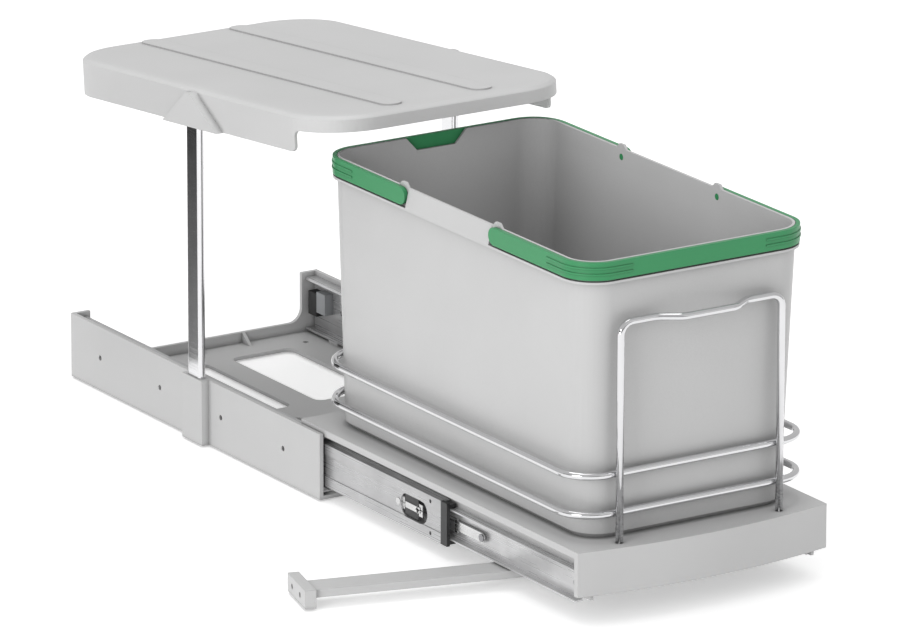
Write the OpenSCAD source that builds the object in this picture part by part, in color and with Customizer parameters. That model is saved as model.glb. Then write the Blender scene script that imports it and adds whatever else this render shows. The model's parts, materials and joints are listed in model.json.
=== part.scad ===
// Pull out trash cabinet: a moulded frame, two ball-bearing slides, a tray with
// a wire frame and a lift-out bin, a tipping lid on two posts, and a door arm.
// Origin: middle of the rear edge on the cabinet floor. The tray comes out
// toward -Y and is drawn fully out. A depth is a distance in front of the rear.

/* [Frame] */
// Width over the side panels
frame_w = 238; // [232:1:250]
// Depth of the side panels
frame_d = 391; // [389:1:396]
// Height of the side panels
panel_h = 54.5; // [52:0.5:54.5]
// Wall of the side panels
panel_t = 3.5; // [3:0.1:4]
// Thickness of the base plate
base_t = 3; // [2:0.1:3.5]
// Height of the low rear wall
rear_wall_h = 12; // [6:1:20]
// Thickness of the rear wall
rear_wall_t = 3.5; // [2.5:0.1:4]
// Width of the rear return of each side panel
return_w = 13.1; // [12:0.1:13.1]
// Outer edge of the base openings from the middle
opening_x = 71; // [60:1:95]
// Half width of the rib between the rear openings
rear_rib = 12; // [8:1:25]
// Half width of the rib between the front openings
front_rib = 22; // [8:1:30]
// Depth where the rear openings start
rear_opening_d = 36.5; // [30:1:60]
// Length of the rear openings
rear_opening_l = 139; // [80:1:140]
// Depth where the front openings start
front_opening_d = 204; // [195:1:230]
// Width of the base plate in front of the openings
front_rim = 39; // [37:1:100]
// Corner radius of the base openings
opening_r = 8; // [4:1:12]
// Pitch of the screw holes along a side panel
screw_pitch = 96; // [80:1:98]
// Depth of the first screw hole
screw_first = 47.4; // [44:0.2:56]
// Radius of the screw holes in panels and rails
screw_r = 2.2; // [1.8:0.1:2.6]
// Distance of the floor screw holes from the middle
floor_screw_x = 90; // [80:1:98]
// Depth of the rear floor screw holes
floor_screw_d = 30; // [20:1:60]
// Distance of the front floor screw holes from the front edge
floor_screw_front = 61; // [31:1:80]
// Radius of the floor screw holes
floor_screw_r = 2.5; // [2:0.1:3.5]

/* [Posts] */
// Width of a post, front to back
post_w = 20.5; // [18:0.5:22]
// Thickness of a post
post_t = 6.4; // [5.6:0.1:6.6]
// Wall of a post tube
post_wall = 1.2; // [0.8:0.1:1.6]
// Depth of the post centres
post_d = 205.5; // [200:0.5:210]
// Height of the post above the lid pivot
post_over_pivot = 7; // [6:0.5:10]
// Width of a post socket, front to back
socket_w = 31; // [28:0.5:34]
// Outer wall of a post socket
socket_wall = 1.6; // [1.2:0.1:2]

/* [Slides] */
// Distance that the tray comes out
travel = 350; // [340:1:352]
// Height of the slide centre
rail_z = 27.8; // [27.6:0.1:28]
// Height of the outer rail
outer_h = 45.7; // [45:0.1:46.4]
// Height of the middle rail
mid_h = 35.2; // [35:0.1:35.4]
// Height of the inner rail
inner_h = 25.4; // [25:0.1:25.6]
// Sheet thickness of the rails
rail_t = 1.2; // [1.1:0.05:1.25]
// Thickness of a whole slide
slide_t = 12.7; // [12.5:0.1:12.9]
// How much shorter the middle rail is than a side panel
mid_short = 44; // [42:1:61]
// How much shorter the inner rail is than a side panel
inner_short = 41; // [39:1:61]
// Setback of the middle rail's front when the tray is in
mid_setback = 6; // [5:0.5:10]
// Length of an outer ball cage
outer_cage_l = 147; // [120:1:150]
// Balls in one row of an outer cage
outer_cage_balls = 7; // [4:1:8]
// Length of an inner ball cage
inner_cage_l = 90; // [70:1:96]
// Balls in one row of an inner cage
inner_cage_balls = 5; // [3:1:6]
// Radius of the outer balls
outer_ball_r = 1.7; // [1.5:0.05:1.75]
// Radius of the inner balls
inner_ball_r = 1.5; // [1.3:0.05:1.55]

/* [Tray] */
// Height of the tray top above the floor
deck_z = 57.6; // [57.6:0.1:59]
// Thickness of the tray top
deck_t = 3; // [2.5:0.1:3]
// Width of the tray
tray_w = 228.8; // [224:0.2:229]
// Setback of the tray's rear edge when in
tray_setback = 6; // [5:0.5:8]
// How far the tray's corners stand out past the panels when in
tray_over = 14; // [13:0.5:16]
// How far the tray front bows out
tray_bow = 11.5; // [8:0.5:14]
// Height of the front wall's bottom edge
front_wall_z = 22; // [20:0.5:26]
// Wall of the tray
tray_t = 2.8; // [2.4:0.1:3]
// Height of the side skirts' bottom edge
skirt_z = 18; // [17:0.5:20]

/* [Wires] */
// Radius of the wire
wire_r = 3; // [2.6:0.1:3.1]
// Height of the upper hoop
hoop_high = 110.8; // [100:0.5:120]
// Height of the lower hoop
hoop_low = 79.8; // [72:0.5:90]
// Half width of the hoops
hoop_x = 106.7; // [106:0.1:107.5]
// Corner radius of the hoops at the front
hoop_r_front = 28; // [26:0.5:30]
// Corner radius of the hoops at the rear
hoop_r_back = 38; // [36:0.5:39]
// Half width of the front guard
guard_x = 73.4; // [65:0.5:80]
// Height of the front guard
guard_z = 231.5; // [200:0.5:240]
// Bend radius of the guard and the rear support
guard_r = 10; // [8:0.5:16]
// How far the guard's grip bows out
grip_bow = 11; // [9:0.5:12]
// Half width of the guard's grip
grip_x = 27; // [20:0.5:35]

/* [Bin] */
// Half width of the bin below its rim edge
bin_x = 102; // [101:0.1:102.2]
// Distance of the bin's rear from the tray's rear edge
bin_rear_gap = 17; // [17:0.1:18]
// Distance of the bin's front from the tray's front corners
bin_front_gap = 12.5; // [12:0.5:15]
// Height of the bin
bin_h = 221.9; // [215:0.5:222]
// Wall of the bin
bin_t = 2.2; // [1.8:0.1:2.6]
// Corner radius of the bin
bin_r = 25; // [22:0.5:26]
// Draft of each side at the bottom
bin_draft = 7; // [5:0.5:9]
// Draft of the front at the bottom
bin_draft_front = 5.5; // [5:0.5:8]
// Depth of the rim band that holds the handles
rim_h = 15.5; // [15:0.5:18]
// Width of the ledge under the handles
ledge_w = 3.5; // [3:0.1:3.8]
// Thickness of the ledge
ledge_t = 2; // [1.5:0.1:2.5]
// Height of the ears over the rim
ear_h = 3.5; // [2:0.1:3.5]
// Distance of the rear handle's pivot from the bin's rear
rear_pivot_in = 115.5; // [107:0.5:127]
// Distance of the front handle's pivot from the bin's front
front_pivot_in = 120.5; // [110:0.5:132]
// Thickness of a handle
handle_t = 3.4; // [3:0.1:3.5]
// Height of a handle band
handle_h = 14; // [12:0.5:14]
// Radius of a handle's pivot pin
handle_pin_r = 2.6; // [2:0.1:3]
// Half width of the finger notch at its top
notch_x = 29; // [24:0.5:34]

/* [Lid] */
// Half width of the lid
lid_x = 120.3; // [119:0.1:121]
// Depth of the lid's rear edge when level, below zero where it stands out behind
lid_back = -8.5; // [-10:0.5:-6]
// How far the lid's front edge stands out past the panels when level
lid_over = 11; // [10:0.5:12]
// Corner radius of the lid at the rear
lid_r_back = 48.5; // [44:0.5:52]
// Corner radius of the lid at the front
lid_r_front = 51.5; // [46:0.5:54]
// Wall of the lid
lid_t = 2.4; // [2:0.1:2.6]
// Height of the side skirts
lid_skirt_h = 27.3; // [26.5:0.1:28]
// Height of the front lip
lid_lip_h = 9.9; // [9:0.1:11]
// Rise of the top over its edges
crown = 3.3; // [2.5:0.1:4]
// Height of the lid pivots
pivot_z = 273; // [272:0.2:280]
// Pivot height over the skirt's bottom edge
pivot_over_skirt = 9.2; // [8.8:0.1:9.6]
// Radius of the lid's pivot pins
pivot_r = 3; // [2.5:0.1:3.2]
// Angle of the lid with the tray out
lid_open = 5.35; // [4.5:0.05:6]
// Half width of a pivot housing at its foot
housing_x = 42; // [38:1:46]
// Distance of the lid's bands from the middle
band_x = 42; // [35:1:55]
// Width of the lid's bands
band_w = 18; // [14:1:26]

/* [Door arm] */
// Swivel point left of the middle
swivel_x = 25; // [15:1:30]
// Distance of the swivel point behind the tray's front corners
swivel_in = 92; // [85:1:100]
// Angle of the arm behind straight left
arm_angle = 15; // [10:1:18]
// Distance from the swivel point to the bracket's face
arm_reach = 249; // [245:1:252]
// Length of the arm behind the swivel point
arm_tail = 27; // [26:0.5:32]
// Width of the arm
arm_w = 24; // [20:0.5:26]
// Height of the arm's underside
arm_z = 7.6; // [7.4:0.1:7.8]
// Thickness of the arm
arm_t = 6.3; // [5.5:0.1:6.4]
// Length of the bracket
bracket_l = 47; // [44:0.5:52]
// Height of the bracket
bracket_h = 14.8; // [13:0.1:15]
// Thickness of the bracket's foot
bracket_t = 9; // [6:0.5:10]
// Pitch of the bracket's screw holes
bracket_pitch = 21; // [18:0.5:24]

/* [Hidden] */
// overrun of cuts
cut = 1;
// running clearance of pins in bores
fit = 0.05;
// clearance of sliding faces
slip = 0.1;
// gap between moving bodies
gap = 0.4;

panel_x = frame_w / 2;
panel_in = panel_x - panel_t;
front_opening_l = frame_d - front_opening_d - front_rim;
floor_screw_l = frame_d - floor_screw_d - floor_screw_front;

rail_rear_gap = 1;
rail_front_gap = 3;
rail_screw_r = 1.7;
rail_head_r = 3;
rail_head_t = 0.7;
rail_screw_l = 3;
rail_screw_end = 20;
rail_screws = floor((frame_d - screw_first - rail_screw_end) / screw_pitch);

mid_u = 2.3;
mid_step = 0.8;
mid_lip = 10.4;
band_v = 10;
band_lap = 1;
inner_u = 5.5;
outer_lip = 9.6;
outer_hook = 2.2;
cage_t = 0.5;
outer_cage_u = 1.5;
outer_cage_lip = 8.6;
inner_cage_u = 4.65;
inner_cage_lip = 10.2;
outer_ball_u = 6;
inner_ball_u = 7.9;
outer_ball_v = (outer_h / 2 - rail_t + mid_h / 2) / 2;
inner_ball_v = (mid_h / 2 - rail_t + inner_h / 2) / 2;
ball_margin = 8;
outer_cage_setback = 16;
inner_cage_setback = 67;
rail_over = 4;

mid_l = frame_d - mid_short;
inner_l = frame_d - inner_short;
mid_front = frame_d - mid_setback + travel / 2;
mid_back = mid_front - mid_l;
inner_front = frame_d + rail_over + travel;
inner_back = inner_front - inner_l;
outer_cage_front = frame_d - outer_cage_setback;
inner_cage_front = mid_front - inner_cage_setback;
outer_ball_depths = ball_depths(outer_cage_front, outer_cage_l, outer_cage_balls);
inner_ball_depths = ball_depths(inner_cage_front, inner_cage_l, inner_cage_balls);

cap_l = 9;
cap_tongue = 8;
cap_lobe_h = 3.2;
cutout_l = 39;
cutout_h = 19;
cutout_front = 20.5;
rail_hole_r = 1.6;
rail_hole_front = 15;
rail_hole_v = 13;
latch_l = 36;
latch_h = 10;
latch_t = 0.7;
latch_rivet_r = 1.5;
latch_head_r = 3;
latch_head_t = 0.6;
latch_rivet_d = mid_front - cutout_front - cutout_l - latch_head_r;

lever_l = 38;
lever_h = 8;
lever_t = 1;
lever_u = 8.4;
lever_pivot = 136;
lever_rivet_r = 2;
lever_head_r = 3.2;
lever_head_t = 0.5;
lever_hook = 4;

stop_back = 21;
stop_l = 13.5;
stop_low = -3.8;
stop_h = 18;
stop_u = 9.5;
buffer_l = 13;
buffer_low = -7.8;
buffer_h = 20;
rest_block_l = 14;

gusset_l = 12;
gusset_t = 3;
return_fillet = 12;

tray_back = travel + tray_setback;
tray_front = frame_d + travel + tray_over;
lip_h = 2.6;
lip_t = 2;
skirt_gap = 7;
tray_return_l = 5;
cross_rib_t = 2.5;
cross_rib_h = 9;
cross_ribs = 3;
boss_r = 10;
swivel_pin_r = 6;
boss_cap = 4.6;
tray_screw_r = 1.9;
tray_head_r = 3.4;
tray_head_t = 1.3;
tray_screw_l = 8;
tray_screw_front = 6.3;
tray_screw_back = 25;
tray_screw_pitch = inner_l - tray_screw_front - tray_screw_back;
tray_screws = 2;
bow_r = (tray_w * tray_w / 4 + tray_bow * tray_bow) / (2 * tray_bow);

hoop_front_gap = 11.4;
hoop_rear_gap = 11;
hoop_front = tray_front - hoop_front_gap;
hoop_back = tray_back + hoop_rear_gap;
guard_d = hoop_front + 2 * wire_r + slip;
support_d = hoop_back - 2 * wire_r - slip;
grip_link = 1;
grip_r = (grip_bow - grip_link) / 2;
support_x = 73;
support_over = 8;

bin_back = tray_back + bin_rear_gap;
bin_front = tray_front - bin_front_gap;
rear_pivot_d = bin_back + rear_pivot_in;
front_pivot_d = bin_front - front_pivot_in;
bin_chamfer = 4;
bin_top = deck_z + bin_h;
ledge_z = bin_top - rim_h;
ear_w = 13;
handle_gap = gap;
handle_x = bin_x + handle_gap;
handle_lift = 1.5;
handle_z = ledge_z + handle_lift + handle_h / 2;
ridge_t = 0.6;
ridge_h = 1.4;
ridge_span = 46;
notch_share = 0.62;
notch_h = 11;

post_top = pivot_z + post_over_pivot;
lid_low = pivot_z - pivot_over_skirt;
lid_edge = lid_low + lid_skirt_h;
lid_front = frame_d + lid_over;
crown_run = 7.2;
crown_shares = [[0, 0], [0.12, 0.32], [0.45, 0.8], [1, 1]];
lid_nose = 50;
lip_curve = 5;
housing_t = 6.7;
housing_wall = 2;
housing_apex = 4;
lug_t = 2.5;
lug_w = 18;
lug_gap = 2.8;
lug_drop = 7;
pin_seat = 1;
band_h = 1.2;
band_sink = 4;
band_rear = 16;
band_nose = 26;

socket_gap = 2;
post_x = panel_in + socket_gap + slip + post_t / 2;
socket_x = post_x + post_t / 2 + slip + socket_wall;

swivel_d = tray_front - swivel_in;
shoe_w = 34;
shoe_floor = 2.9;
shoe_top = 17;
swivel_head_r = 5;
swivel_screw_r = 2;
swivel_screw_l = 24;
pin_over = 0.3;
stop_pin_r = 3;
stop_pin_over = 1.1;
stop_pin_end = 6;
bracket_low = 0.4;
bracket_side = 16;
bracket_hole_r = 2.2;
bracket_hole_side = 2;

// one side of the object, drawn on the right and mirrored for the left
module on_side(side) {
    if (side > 0) children();
    else mirror([1, 0, 0]) children();
}

// a box between two cross positions, two depths and two heights
module block(x0, x1, d0, d1, z0, z1) {
    translate([x0, -d1, z0]) cube([x1 - x0, d1 - d0, z1 - z0]);
}

// a cross section in x and z, run forward from one depth to another
module run(d0, d1) {
    translate([0, -d0, 0]) rotate([90, 0, 0]) linear_extrude(height = d1 - d0) children();
}

// an outline in y and z, run across from one position to another
module across(x0, x1) {
    translate([x0, 0, 0]) rotate([90, 0, 90]) linear_extrude(height = x1 - x0) children();
}

// a round bar across the object
module cross_pin(x0, x1, d, z, r) {
    translate([x0, -d, z]) rotate([0, 90, 0]) cylinder(h = x1 - x0, r = r, $fn = 48);
}

// an upright round bar
module upright(x, d, z0, z1, r) {
    translate([x, -d, z0]) cylinder(h = z1 - z0, r = r, $fn = 48);
}

// a flat outline with four round corners, smaller ones at the rear if asked
module plan(half, d0, d1, r0, r1) {
    for (s = [-1, 1]) {
        translate([s * (half - r0), -d0 - r0]) circle(r = r0, $fn = 96);
        translate([s * (half - r1), -d1 + r1]) circle(r = r1, $fn = 96);
    }
    translate([-half, -d1 + r1]) square([2 * half, d1 - d0 - r0 - r1]);
    translate([-half + r0, -d0 - r0]) square([2 * (half - r0), r0]);
    translate([-half + r1, -d1]) square([2 * (half - r1), r1]);
}

// four corner posts of a shell, for use inside hull()
module corners(half, d0, d1, r0, r1, z0, h0, z1, h1) {
    for (s = [-1, 1]) {
        translate([s * (half - r0), -d0 - r0, z0]) cylinder(h = h0, r = r0, $fn = 64);
        translate([s * (half - r1), -d1 + r1, z1]) cylinder(h = h1, r = r1, $fn = 64);
    }
}

// straight wire between two points
module wire(a, b) {
    d = b - a;
    l = norm(d);
    translate(a) rotate([0, acos(d[2] / l), atan2(d[1], d[0])])
        cylinder(h = l, r = wire_r, $fn = 32);
}

// quarter bend of wire, starting along +x of its own plane
module wire_bend(r) {
    rotate_extrude(angle = 90, $fn = 96) translate([r, 0]) circle(r = wire_r, $fn = 32);
}

// rectangle in a slide's own measure: u from the side panel inward, v from the slide's centre
module strip(u0, u1, v0, v1) {
    translate([panel_in - u1, rail_z + v0]) square([u1 - u0, v1 - v0]);
}

// the same rectangle above and below the slide's centre
module strip_pair(u0, u1, v0, v1) {
    strip(u0, u1, v0, v1);
    strip(u0, u1, -v1, -v0);
}

// an opening through the base plate
module base_opening(side, x0, d, l) {
    on_side(side) translate([0, -d, -cut]) linear_extrude(height = base_t + 2 * cut)
        union() {
            for (x = [x0 + opening_r, opening_x - opening_r], y = [opening_r, l - opening_r])
                translate([x, -y]) circle(r = opening_r, $fn = 48);
            translate([x0, -l + opening_r]) square([opening_x - x0, l - 2 * opening_r]);
            translate([x0 + opening_r, -l]) square([opening_x - x0 - 2 * opening_r, l]);
        }
}

// flat oval of a post, grown by a clearance
module post_outline(grow) {
    r = post_t / 2 + grow;
    for (s = [-1, 1]) translate([0, s * (post_w - post_t) / 2]) circle(r = r, $fn = 48);
    translate([-r, -(post_w - post_t) / 2]) square([2 * r, post_w - post_t]);
}

module rear_wall() {
    run(0, rear_wall_t) {
        translate([-panel_x, 0]) square([2 * panel_x, rear_wall_h]);
        for (s = [-1, 1]) mirror([s < 0 ? 1 : 0, 0]) {
            translate([panel_in - return_w, 0]) square([return_w + panel_t, panel_h]);
            translate([panel_in - return_w - return_fillet, rear_wall_h]) difference() {
                square([return_fillet, return_fillet]);
                translate([0, return_fillet]) circle(r = return_fillet, $fn = 64);
            }
        }
    }
    for (x = [-1, 0, 1] * floor_screw_x / 2)
        across(x - gusset_t / 2, x + gusset_t / 2)
            polygon([[-rear_wall_t, base_t], [-rear_wall_t - gusset_l, base_t],
                [-rear_wall_t, rear_wall_h]]);
}

module side_panel() {
    block(panel_in, panel_x, 0, frame_d, 0, panel_h);
    block(panel_in, socket_x, post_d - socket_w / 2, post_d + socket_w / 2, 0, panel_h);
    for (i = [0:rail_screws])
        block(panel_in - outer_lip, panel_in, screw_first + i * screw_pitch - rest_block_l / 2,
            screw_first + i * screw_pitch + rest_block_l / 2, base_t, rail_z - outer_h / 2);
}

module base_frame() {
    color("lightgray") difference() {
        union() {
            block(-panel_x, panel_x, 0, frame_d, 0, base_t);
            rear_wall();
            for (s = [-1, 1]) on_side(s) side_panel();
        }
        for (s = [-1, 1]) {
            base_opening(s, rear_rib, rear_opening_d, rear_opening_l);
            base_opening(s, front_rib, front_opening_d, front_opening_l);
            on_side(s) translate([post_x, -post_d, base_t])
                linear_extrude(height = panel_h) post_outline(slip);
            for (i = [0:rail_screws]) on_side(s)
                cross_pin(panel_in - cut, panel_x + cut, screw_first + i * screw_pitch, rail_z, screw_r);
            for (i = [0:rail_screws - 1]) on_side(s)
                cross_pin(panel_in - cut, panel_in + rail_screw_l + slip,
                    screw_first + (i + 1 / 2) * screw_pitch, rail_z, rail_screw_r + fit);
            for (d = [floor_screw_d, floor_screw_d + floor_screw_l])
                upright(s * floor_screw_x, d, -cut, base_t + cut, floor_screw_r);
        }
    }
}

module post(side) {
    color("silver") on_side(side) difference() {
        translate([post_x, -post_d, base_t]) linear_extrude(height = post_top - base_t) difference() {
            post_outline(0);
            post_outline(-post_wall);
        }
        cross_pin(post_x - post_t, post_x + post_t, post_d, pivot_z, pivot_r + fit);
    }
}

module outer_rail(side) {
    color("gainsboro") on_side(side) difference() {
        run(rear_wall_t + rail_rear_gap, frame_d - rail_front_gap) {
            strip(0, rail_t, -outer_h / 2, outer_h / 2);
            strip_pair(0, outer_lip, outer_h / 2 - rail_t, outer_h / 2);
            strip_pair(outer_lip - rail_t, outer_lip, outer_h / 2 - outer_hook, outer_h / 2);
        }
        for (i = [0:rail_screws])
            cross_pin(panel_in - rail_t - cut, panel_in + cut, screw_first + i * screw_pitch, rail_z,
                screw_r);
        for (i = [0:rail_screws - 1]) {
            d = screw_first + (i + 1 / 2) * screw_pitch;
            cross_pin(panel_in - rail_t - cut, panel_in + cut, d, rail_z, rail_screw_r + fit);
            cross_pin(panel_in - rail_t - cut, panel_in - rail_t + rail_head_t, d, rail_z,
                rail_head_r + fit);
        }
    }
}

module outer_rail_screws() {
    color("silver") for (s = [-1, 1], i = [0:rail_screws - 1]) on_side(s) {
        d = screw_first + (i + 1 / 2) * screw_pitch;
        cross_pin(panel_in - rail_t, panel_in - rail_t + rail_head_t, d, rail_z, rail_head_r);
        cross_pin(panel_in - rail_t + rail_head_t / 2, panel_in + rail_screw_l, d, rail_z,
            rail_screw_r);
    }
}

module rear_stop(side) {
    color("gray") on_side(side)
        run(stop_back, stop_back + stop_l) strip(rail_t, stop_u, stop_low, stop_low + stop_h);
}

module rubber_buffer(side) {
    color("black") on_side(side)
        run(stop_back - buffer_l, stop_back) strip(rail_t, stop_u, buffer_low, buffer_low + buffer_h);
}

// places along a cage where the balls sit
function ball_depths(front, length, count) =
    [for (i = [0:count - 1]) front - ball_margin - i * (length - 2 * ball_margin) / (count - 1)];

// a cage strip above and below, joined by a web, with a seat under each ball
module ball_cage(front, length, depths, web_u, lip_u, v, u, r) {
    color("goldenrod") difference() {
        run(front - length, front) {
            strip(web_u, web_u + cage_t, -v - cage_t / 2, v + cage_t / 2);
            strip_pair(web_u, lip_u, v - cage_t / 2, v + cage_t / 2);
        }
        ball_rows(depths, v, u, r + fit);
    }
}

module ball_rows(depths, v, u, r) {
    color("silver") for (d = depths, s = [-1, 1])
        translate([panel_in - u, -d, rail_z + s * v]) sphere(r = r, $fn = 48);
}

module outer_ball_cage(side) {
    on_side(side) ball_cage(outer_cage_front, outer_cage_l, outer_ball_depths, outer_cage_u,
        outer_cage_lip, outer_ball_v, outer_ball_u, outer_ball_r);
}

module outer_balls(side) {
    on_side(side) ball_rows(outer_ball_depths, outer_ball_v, outer_ball_u, outer_ball_r);
}

module inner_ball_cage(side) {
    on_side(side) ball_cage(inner_cage_front, inner_cage_l, inner_ball_depths, inner_cage_u,
        inner_cage_lip, inner_ball_v, inner_ball_u, inner_ball_r);
}

module inner_balls(side) {
    on_side(side) ball_rows(inner_ball_depths, inner_ball_v, inner_ball_u, inner_ball_r);
}

module middle_rail(side) {
    web = mid_u + mid_step;
    color("gainsboro") on_side(side) difference() {
        run(mid_back, mid_front) {
            strip(web, web + rail_t, -band_v, band_v);
            strip_pair(mid_u, web + rail_t, band_v - band_lap, band_v);
            strip_pair(mid_u, mid_u + rail_t, band_v - band_lap, mid_h / 2);
            strip_pair(mid_u, mid_lip, mid_h / 2 - rail_t, mid_h / 2);
        }
        for (i = [0, 1])
            cross_pin(panel_in - web - rail_t - cut, panel_in,
                mid_front - cutout_front - cutout_h / 2 - i * (cutout_l - cutout_h), rail_z,
                cutout_h / 2);
        block(panel_in - web - rail_t - cut, panel_in, mid_front - cutout_front - cutout_l + cutout_h / 2,
            mid_front - cutout_front - cutout_h / 2, rail_z - cutout_h / 2, rail_z + cutout_h / 2);
        cross_pin(panel_in - web - rail_t - cut, panel_in, latch_rivet_d, rail_z, latch_rivet_r + fit);
        for (s = [-1, 1])
            cross_pin(panel_in - web - rail_t - cut, panel_in, mid_front - rail_hole_front,
                rail_z + s * rail_hole_v, rail_hole_r);
    }
}

module rail_latch(side) {
    web = mid_u + mid_step;
    color("silver") on_side(side) {
        block(panel_in - web - rail_t - latch_t, panel_in - web - rail_t, latch_rivet_d - latch_head_r,
            latch_rivet_d - latch_head_r + latch_l, rail_z - latch_h / 2, rail_z + latch_h / 2);
        cross_pin(panel_in - web - rail_t - latch_t / 2, panel_in - web, latch_rivet_d, rail_z,
            latch_rivet_r);
        cross_pin(panel_in - web, panel_in - web + latch_head_t, latch_rivet_d, rail_z,
            latch_head_r);
    }
}

module rail_end_cap(side) {
    lobe = mid_h / 2 - rail_t - slip;
    color("black") on_side(side) {
        run(mid_front, mid_front + cap_l) {
            strip(mid_u, inner_u - gap, -mid_h / 2, mid_h / 2);
            strip_pair(inner_u - gap, mid_lip, lobe - cap_lobe_h, lobe);
        }
        run(mid_front - cap_tongue, mid_front)
            strip_pair(mid_u + mid_step + rail_t + slip, mid_lip, lobe - cap_lobe_h, lobe);
    }
}

module inner_rail(side) {
    color("gainsboro") on_side(side) difference() {
        run(inner_back, inner_front) {
            strip(slide_t - rail_t, slide_t, -inner_h / 2, inner_h / 2);
            strip_pair(inner_u, slide_t, inner_h / 2 - rail_t, inner_h / 2);
        }
        for (i = [0:tray_screws - 1])
            cross_pin(panel_in - slide_t - cut, panel_in - slide_t + rail_t + cut,
                inner_front - tray_screw_front - i * tray_screw_pitch, rail_z, tray_screw_r + fit);
        cross_pin(panel_in - slide_t - cut, panel_in - slide_t + rail_t + cut,
            inner_front - lever_pivot, rail_z, lever_rivet_r + fit);
    }
}

module tray_rail_screws() {
    face = panel_in - slide_t + rail_t;
    color("silver") for (s = [-1, 1], i = [0:tray_screws - 1]) on_side(s) {
        d = inner_front - tray_screw_front - i * tray_screw_pitch;
        cross_pin(face, face + tray_head_t, d, rail_z, tray_head_r);
        cross_pin(face - tray_screw_l, face + tray_head_t / 2, d, rail_z, tray_screw_r);
    }
}

module lever_rivets() {
    face = panel_in - slide_t + rail_t;
    color("silver") for (s = [-1, 1]) on_side(s) {
        d = inner_front - lever_pivot;
        cross_pin(face - rail_t, panel_in - lever_u + slip, d, rail_z, lever_rivet_r);
        cross_pin(panel_in - lever_u + slip, panel_in - lever_u + slip + lever_head_t, d, rail_z,
            lever_head_r);
    }
}

module release_lever(side) {
    d = inner_front - lever_pivot;
    color("silver") on_side(side) difference() {
        union() {
            across(panel_in - lever_u - lever_t, panel_in - lever_u) {
                translate([-d, rail_z]) circle(r = lever_h / 2, $fn = 48);
                translate([-d, rail_z - lever_h / 2]) square([lever_l, lever_h]);
                translate([-d + lever_l - lever_hook, rail_z - lever_h / 2 - lever_hook / 2])
                    square([lever_hook, lever_h + lever_hook]);
            }
            block(panel_in - slide_t + rail_t + gap, panel_in - lever_u - lever_t / 2,
                d - lever_l / 2 - lever_hook, d - lever_l / 2, rail_z - lever_t / 2,
                rail_z + lever_t / 2);
        }
        cross_pin(panel_in - lever_u - lever_t - cut, panel_in - lever_u + cut, d, rail_z,
            lever_rivet_r + fit);
    }
}

// everything behind the tray's bowed front, set back by an inset
module bow(inset, z0, z1) {
    translate([0, -tray_front - tray_bow + bow_r, z0])
        cylinder(h = z1 - z0, r = bow_r - inset, $fn = 360);
}

module tray() {
    half = tray_w / 2;
    skirt_x = panel_in - slide_t;
    far = tray_front + tray_bow + cut;
    under = deck_z - deck_t;
    color("lightgray") difference() {
        union() {
            intersection() {
                block(-half, half, tray_back, far, under, deck_z);
                bow(0, under, deck_z);
            }
            difference() {
                intersection() {
                    block(-half, half, tray_front - 2 * tray_return_l, far, front_wall_z, under);
                    bow(0, front_wall_z, under);
                }
                bow(tray_t, front_wall_z - cut, under);
            }
            for (s = [-1, 1]) on_side(s) {
                block(half - lip_t, half, tray_back, tray_front, under - lip_h, under);
                block(half - lip_t, half, tray_front - tray_return_l, tray_front, front_wall_z, under);
                block(skirt_x - tray_t, skirt_x, tray_back + skirt_gap, tray_front, skirt_z, under);
                for (i = [0:tray_screws - 1])
                    cross_pin(skirt_x - tray_t - tray_screw_l + rail_t, skirt_x - tray_t / 2,
                        inner_front - tray_screw_front - i * tray_screw_pitch, rail_z,
                        2 * tray_screw_r);
            }
            block(-skirt_x, skirt_x, tray_back + skirt_gap, tray_back + skirt_gap + tray_t,
                under - cross_rib_h, under);
            for (i = [1:cross_ribs])
                block(-skirt_x, skirt_x, tray_back + i * travel / (cross_ribs + 1),
                    tray_back + i * travel / (cross_ribs + 1) + cross_rib_t, under - cross_rib_h, under);
            upright(-swivel_x, swivel_d, shoe_top + pin_over, under, boss_r);
            for (s = [-1, 1]) block(-swivel_x - cross_rib_t / 2, -swivel_x + cross_rib_t / 2,
                swivel_d - 3 * boss_r, swivel_d + 3 * boss_r, under - cross_rib_h, under);
        }
        for (s = [-1, 1]) {
            upright(s * guard_x, guard_d, under - lip_h - cut, deck_z + cut, wire_r + fit);
            upright(s * support_x, support_d, under - lip_h - cut, deck_z + cut, wire_r + fit);
            for (i = [0:tray_screws - 1]) on_side(s)
                cross_pin(skirt_x - tray_screw_l - cut, skirt_x + cut,
                    inner_front - tray_screw_front - i * tray_screw_pitch, rail_z,
                    tray_screw_r + fit);
        }
        upright(-swivel_x, swivel_d, shoe_top, under - boss_cap, swivel_pin_r + fit);
        upright(-swivel_x, swivel_d, under - boss_cap - cut, deck_z + cut, swivel_screw_r + fit);
        upright(-swivel_x, swivel_d, under, deck_z + cut, swivel_head_r + fit);
    }
}

module wire_hoop(z) {
    color("silver") translate([0, 0, z]) {
        for (s = [-1, 1]) on_side(s) {
            translate([hoop_x - hoop_r_back, -hoop_back - hoop_r_back, 0]) wire_bend(hoop_r_back);
            translate([hoop_x - hoop_r_front, -hoop_front + hoop_r_front, 0]) rotate([0, 0, -90])
                wire_bend(hoop_r_front);
            wire([hoop_x, -hoop_front + hoop_r_front, 0], [hoop_x, -hoop_back - hoop_r_back, 0]);
        }
        wire([-hoop_x + hoop_r_back, -hoop_back, 0], [hoop_x - hoop_r_back, -hoop_back, 0]);
        wire([-hoop_x + hoop_r_front, -hoop_front, 0], [hoop_x - hoop_r_front, -hoop_front, 0]);
    }
}

// a leg and the bend at its top, for a wire that turns inward
module wire_leg(x, d, z) {
    wire([x, -d, deck_z - deck_t], [x, -d, z - guard_r]);
    translate([x - guard_r, -d, z - guard_r]) rotate([90, 0, 0]) wire_bend(guard_r);
}

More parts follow.
